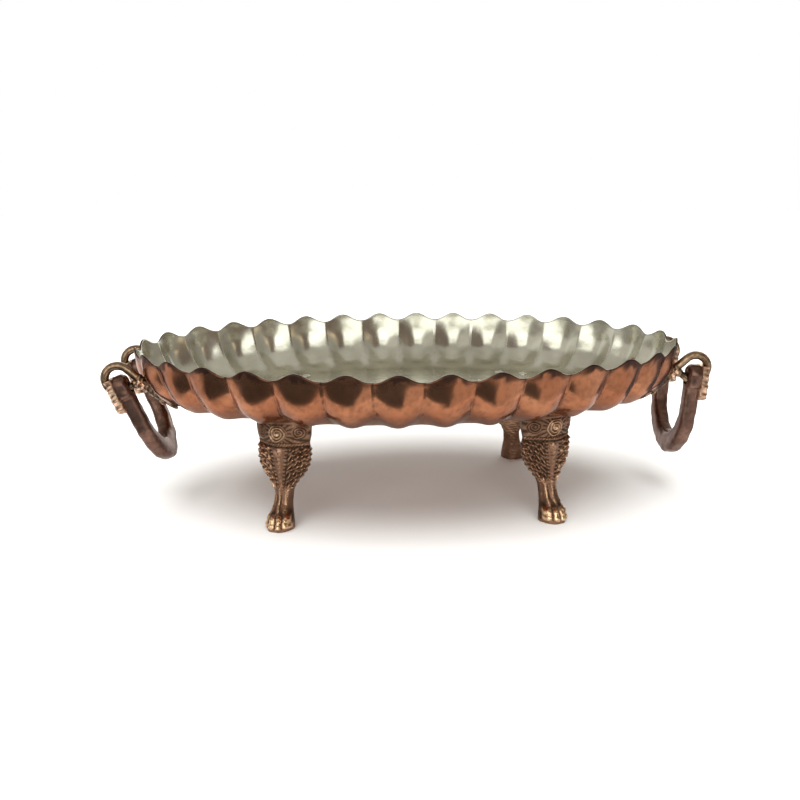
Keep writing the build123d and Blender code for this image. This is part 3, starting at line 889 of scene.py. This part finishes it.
def torus(centre, ring_r, tube_r, steps=72, around=24):
    """Points and faces of a ring about the Y direction."""
    b = np.arange(around)[:, None] / around * TAU
    rings = []
    for a in np.arange(steps) / steps * TAU:
        radial = np.array([math.cos(a), 0, math.sin(a)])
        rings.append(centre + ring_r * radial + tube_r * (np.cos(b) * radial + np.sin(b) * np.array([0, 1, 0])))
    faces = []
    for i in range(steps):
        for j in range(around):
            i2, j2 = (i + 1) % steps, (j + 1) % around
            faces.append((i * around + j, i * around + j2, i2 * around + j2, i2 * around + j))
    return np.array(rings).reshape(-1, 3), faces


def cut(piece, cutter):
    """Takes cutter away from piece and removes cutter."""
    change = piece.modifiers.new("cut", "BOOLEAN")
    change.operation = "DIFFERENCE"
    change.solver = "EXACT"
    change.object = cutter
    bpy.context.view_layer.update()
    depsgraph = bpy.context.evaluated_depsgraph_get()
    result = bpy.data.meshes.new_from_object(piece.evaluated_get(depsgraph))
    piece.modifiers.clear()
    piece.data = result
    bpy.data.objects.remove(cutter)


def clear_loops(piece, origin):
    """Cuts room for the two hooks' loops out of a piece of a bail."""
    for sign in (1, -1):
        points, faces = torus(origin + np.array([0, sign * HOOK_Y, 0]), LOOP_R, ROD_R + RUNNING_CLEARANCE)
        cutter = mesh_object("cutter", points, faces, piece.data.materials[0])
        fix_normals(cutter)
        cut(piece, cutter)


def leaf_rings(top, bottom, half, rise, phase):
    """Leaf on the outward face of an arm, from top to bottom below the hinge, with a lobed outline."""
    rings = []
    shade_and_marks = []
    angle = np.linspace(0, TAU, 31)[:-1]
    cos, sin = np.cos(angle), np.sin(angle)
    for t in np.linspace(0, 1, 46):
        h = top + (bottom - top) * t
        width = half * (math.sin(math.pi * (0.25 + 0.60 * t)) ** 0.5 if t < TIP else
                        math.sqrt(max(0.0, 1 - ((t - TIP) / 0.102) ** 2)) * 0.78)
        width = width * (1 + 0.13 * math.cos(TAU * t * 3.5 + phase))
        lift = rise * (0.80 + 0.20 * t) * (
            1.0 if t < TIP else math.sqrt(max(0.02, 1 - ((t - TIP) / 0.104) ** 2)))
        y = width * np.sign(cos) * np.abs(cos) ** 0.8
        up = np.maximum(sin, 0) ** 0.45
        vein = wave(h + 1.0 * np.abs(y), 4.4)
        n = np.where(sin > 0, lift * up * (0.78 + 0.22 * vein) + 0.5 * bell(y, 0.8) * up, 2.2 * sin)
        rings.append(np.stack([y, n, np.full_like(y, h)], 1))
        # painted shade between the veins and on the underside
        shade_and_marks.append(np.clip(0.9 - 1.2 * vein, 0, 1) * (sin > 0) + 0.5 * (sin < 0.15))
    return np.array(rings), np.array(shade_and_marks)


def bail_bar(side):
    """The U-shaped bar of a bail, with its two eyes."""
    origin, up, out = bail_frame(side)
    stations = bail_stations()
    profile = np.arange(32) / 32 * TAU
    cos, sin = np.cos(profile), np.sin(profile)
    rings = []
    for sign in (1, -1):
        order = stations if sign > 0 else stations[::-1][1:]
        for (p, h), (ap, ah), half, depth in order:
            w = half * np.sign(cos) * np.abs(cos) ** 0.62
            n = depth * BAR_DEPTH / 2 * np.sign(sin) * np.abs(sin) ** 0.62
            across = np.array([0, sign * ap, 0]) - up * ah
            centre = origin + np.array([0, sign * p, 0]) - up * h
            rings.append(centre + np.outer(w, across) + np.outer(n, out))
    rings = np.array(rings)
    uneven = 0.28 * lumps(rings, 11.0, 41 + len(side)) + 0.10 * lumps(rings, 3.5, 43)
    rings = rings + uneven[:, :, None] * (rings - rings.mean(1)[:, None]) / 6.0
    body = mesh_object(side + "_cast_bail", *ring_body(rings), BAIL)
    fix_normals(body)
    clear_loops(body, origin)
    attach(body, side + "_bail")
    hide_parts(side + "_handle")


def bail_leaves(side):
    """Two leaves, one over the other, on the outward face of each arm."""
    origin, up, out = bail_frame(side)
    parts = []
    leaf_shades = []
    for sign in (1, -1):
        for leaf in LEAVES:
            local, shade_and_marks = leaf_rings(*leaf)
            y, n, h = local[:, :, 0], local[:, :, 1], local[:, :, 2]
            middle = HOOK_Y - 0.5 - 0.066 * np.clip(h - 17.0, 0, None)
            world = (origin + (middle + y)[:, :, None] * np.array([0, sign, 0])
                     + (BAR_DEPTH / 2 - 0.5 + n)[:, :, None] * out - h[:, :, None] * up)
            world = world + 0.12 * lumps(world, 3.0, 51)[:, :, None] * out
            parts.append(ring_body(world))
            # the end caps' centre points take half the painted shade
            leaf_shades.append(np.concatenate([shade_and_marks.ravel(), [0.5, 0.5]]))
    leaves = mesh_object(side + "_bail_leaves", *joined(parts), LEAF)
    set_share(leaves, "shade_and_marks", np.concatenate(leaf_shades))
    fix_normals(leaves)
    clear_loops(leaves, origin)
    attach(leaves, side + "_bail")
    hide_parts(side + "_handle")


for bail_side in ("left", "right"):
    bail_bar(bail_side)
    bail_leaves(bail_side)


# ---- rivets ----
LEG_RIVET_SPAN = 10.0     # a leg's rivets stand this far each side of its middle
LEG_RIVET_BACK = 10.0     # and this far behind it


def rivet_rings(shank, low, high, low_head, high_head, seed):
    """Rivet on the Z axis with a domed head (radius, rise) at each end."""
    profile = []
    for t in np.linspace(0.08, 1, 8):
        a = t * math.pi / 2
        profile.append((low_head[0] * math.sin(a), low - low_head[1] * math.cos(a)))
    profile.append((shank, low))
    profile.append((shank, high))
    for t in np.linspace(1, 0.08, 8):
        a = t * math.pi / 2
        profile.append((high_head[0] * math.sin(a), high + high_head[1] * math.cos(a)))
    a = np.arange(24) / 24 * TAU
    circle = np.stack([np.cos(a), np.sin(a)], 1)
    rings = np.array([np.column_stack([radius * circle, np.full(24, z)]) for radius, z in profile])
    return rings * (1 + 0.03 * lumps(rings + seed * 7.0, 4.0, 61)[:, :, None] * np.array([1, 1, 0]))


def rivet_group(name, node_name, placings, rings, tinned_above=None):
    """One rivet at each placing, joined in one piece."""
    parts = []
    for matrix in placings:
        parts.append(ring_body(np.array([[(matrix @ Vector(p))[:] for p in ring] for ring in rings])))
    piece = mesh_object(name, *joined(parts), RIVET)
    fix_normals(piece)
    if tinned_above:
        piece.data.materials.append(TIN)
        for face in piece.data.polygons:
            face.material_index = int(face.center.z > tinned_above * MM)
    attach(piece, "tray")
    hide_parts(node_name)


def rivets():
    """Two rivets for each leg, tinned inside the tray, and two for each hook."""
    leg_rings = rivet_rings(shank=2.0, low=FLOOR_Z - 4.0, high=FLOOR_Z + SHEET,
                            low_head=(3.8, 1.6), high_head=(4.2, 1.8), seed=1)
    inside = FLOOR_Z + 0.5 * SHEET
    for end, side_y in ENDS:
        for side, side_x in SIDES:
            name = end + "_" + side
            facing, across = leg_facing(side_x, side_y)
            middle = Vector((side_x * LEG_X, side_y * LEG_Y, 0)) - facing * LEG_RIVET_BACK
            placings = [Matrix.Translation(middle + across * shift)
                        for shift in (-LEG_RIVET_SPAN, LEG_RIVET_SPAN)]
            rivet_group(name + "_leg_rivet_heads", name + "_leg_rivets", placings, leg_rings, inside)
    hook_rivet_rings = rivet_rings(shank=1.6, low=-2.4, high=3.0,
                                   low_head=(2.9, 1.9), high_head=(2.9, 1.5), seed=3)
    turned = Matrix((Vector(STRAP_DOWN), Vector((0, -1, 0)), Vector(STRAP_OUT))).transposed().to_4x4()
    for side, side_x in SIDES:
        for end, side_y in ENDS:
            name = side + "_" + end
            mirror = Matrix.Diagonal((side_x, side_y, 1, 1))
            placings = [mirror @ Matrix.Translation(Vector(STRAP_START + STRAP_DOWN * along)) @ turned
                        for along in HOOK_RIVETS]
            rivet_group(name + "_hook_rivet_heads", name + "_hook_rivets", placings, hook_rivet_rings)


rivets()


# ---- stage ----
APRON = 0.065             # pale floor that the metal reflects, out from the tray, in metres
REACH = 5.0


def floor_ring(name, inner, outer, material):
    """Flat ring between two ellipses given by their half axes, or a disc where inner is None."""
    count = 128
    angle = np.arange(count) / count * TAU
    around = np.stack([np.cos(angle), np.sin(angle)], 1)
    points = [(*(p * outer), 0.0) for p in around]
    faces = [tuple(range(count))]
    if inner is not None:
        points += [(*(p * inner), 0.0) for p in around]
        faces = [(j, (j + 1) % count, count + (j + 1) % count, count + j) for j in range(count)]
    mesh = bpy.data.meshes.new(name)
    mesh.from_pydata(points, [], faces)
    mesh.materials.append(material)
    floor = bpy.data.objects.new(name, mesh)
    bpy.context.scene.collection.objects.link(floor)
    return floor


def make_stage():
    """Pale floor. Its far part takes the shadow but is not reflected."""
    material, _, shader = new_material("pale_floor")
    shader.inputs["Base Color"].default_value = (0.93, 0.93, 0.93, 1)
    shader.inputs["Roughness"].default_value = 0.9
    shader.inputs["Specular IOR Level"].default_value = 0.0
    apron = np.array([HALF_LENGTH * MM + APRON, HALF_WIDTH * MM + APRON])
    floor_ring("floor_near", None, apron, material)
    far = floor_ring("floor_far", apron, np.array([REACH, REACH]), material)
    far.visible_glossy = False


def sun_light(name, direction, strength, angle):
    """Large soft light that reaches the floor only: the metal reflects the room instead."""
    data = bpy.data.lights.new(name, "SUN")
    data.energy = strength
    data.angle = angle
    light = bpy.data.objects.new(name, data)
    light.rotation_euler = Vector(direction).to_track_quat("-Z", "Y").to_euler()
    light.visible_glossy = False
    bpy.context.scene.collection.objects.link(light)


def lobe(tree, split, azimuth, width, edge):
    """1 within width degrees either side of azimuth, from -Y towards +X, falling to 0 over edge degrees."""
    flat = scalar(tree, "ARCTAN2", split.outputs["X"], scalar(tree, "MULTIPLY", split.outputs["Y"], -1.0))
    turned = scalar(tree, "WRAP", scalar(tree, "SUBTRACT", flat, math.radians(azimuth)), math.pi)
    turned.node.inputs[2].default_value = -math.pi
    away = scalar(tree, "ABSOLUTE", turned)
    made = tree.nodes.new("ShaderNodeMapRange")
    made.interpolation_type = "SMOOTHSTEP"
    made.inputs["From Min"].default_value = math.radians(width + edge / 2)
    made.inputs["From Max"].default_value = math.radians(width - edge / 2)
    tree.links.new(away, made.inputs["Value"])
    return made.outputs["Result"]


def band(tree, height, low, high, edge):
    """1 where height, the sine of the elevation, is between low and high."""
    rise = tree.nodes.new("ShaderNodeMapRange")
    fall = tree.nodes.new("ShaderNodeMapRange")
    for made, start, end in ((rise, low - edge, low + edge), (fall, high + edge, high - edge)):
        made.interpolation_type = "SMOOTHSTEP"
        made.inputs["From Min"].default_value = start
        made.inputs["From Max"].default_value = end
        tree.links.new(height, made.inputs["Value"])
    return scalar(tree, "MULTIPLY", rise.outputs["Result"], fall.outputs["Result"])


ROOM = (                  # colours of the room by height, from straight down, 0, to straight up, 1
    (0.0, (1.0, 0.98, 0.96)), (0.485, (1.25, 1.22, 1.20)), (0.515, (0.32, 0.30, 0.275)),
    (0.75, (0.40, 0.39, 0.35)), (1.0, (0.60, 0.58, 0.53)),
)
DARK_SIDES = ((-32.0, 49.0), (150.0, 45.0))  # azimuth and half width of the dark parts below the horizon
DARK = (0.15, 0.185, 0.215)
PANELS = (                # azimuth, half width, sines of the lowest and highest elevation, colour
    (45.0, 28.0, -0.05, 0.75, (0.22, 0.17, 0.145)),
    (-14.0, 33.0, -0.07, 0.64, (2.15, 2.20, 2.10)),
    (72.0, 8.0, 0.22, 0.45, (1.05, 0.88, 0.62)),
    (165.0, 33.0, -0.07, 0.60, (1.75, 1.78, 1.70)),
    (-76.0, 20.0, 0.30, 0.75, (0.70, 0.67, 0.62)),
    (-112.0, 16.0, 0.10, 0.60, (0.85, 0.85, 0.80)),
)


def make_world():
    """Room that the metal reflects: windows, dark furniture below, grey ceiling; plain white to the camera."""
    world = bpy.data.worlds.new("world")
    bpy.context.scene.world = world
    world.use_nodes = True
    tree = world.node_tree
    tree.nodes.clear()
    out = tree.nodes.new("ShaderNodeOutputWorld")
    coords = tree.nodes.new("ShaderNodeTexCoord").outputs["Generated"]
    split = tree.nodes.new("ShaderNodeSeparateXYZ")
    tree.links.new(coords, split.inputs[0])
    height = split.outputs["Z"]
    colour = ramp(tree, scalar(tree, "ADD", scalar(tree, "MULTIPLY", height, 0.5), 0.5), ROOM)
    below = band(tree, height, -0.97, 0.03, 0.02)
    for azimuth, width in DARK_SIDES:
        dark = scalar(tree, "MULTIPLY", lobe(tree, split, azimuth, width, 9.0), below)
        colour = mix(tree, dark, colour, DARK)
    for azimuth, width, low, high, tint in PANELS:
        panel = scalar(tree, "MULTIPLY", lobe(tree, split, azimuth, width, 12.0),
                       band(tree, height, low, high, 0.05))
        colour = mix(tree, panel, colour, tint)
    room = tree.nodes.new("ShaderNodeBackground")
    tree.links.new(colour, room.inputs["Color"])
    plain = tree.nodes.new("ShaderNodeBackground")
    plain.inputs["Color"].default_value = (1, 1, 1, 1)
    path = tree.nodes.new("ShaderNodeLightPath")
    chooser = tree.nodes.new("ShaderNodeMixShader")
    tree.links.new(path.outputs["Is Camera Ray"], chooser.inputs[0])
    tree.links.new(room.outputs[0], chooser.inputs[1])
    tree.links.new(plain.outputs[0], chooser.inputs[2])
    tree.links.new(chooser.outputs[0], out.inputs[0])


make_stage()
make_world()
sun_light("overhead_sun", (0.10, 0.18, -1.0), 3.4, math.radians(70.0))
bpy.context.scene.view_settings.view_transform = "Standard"
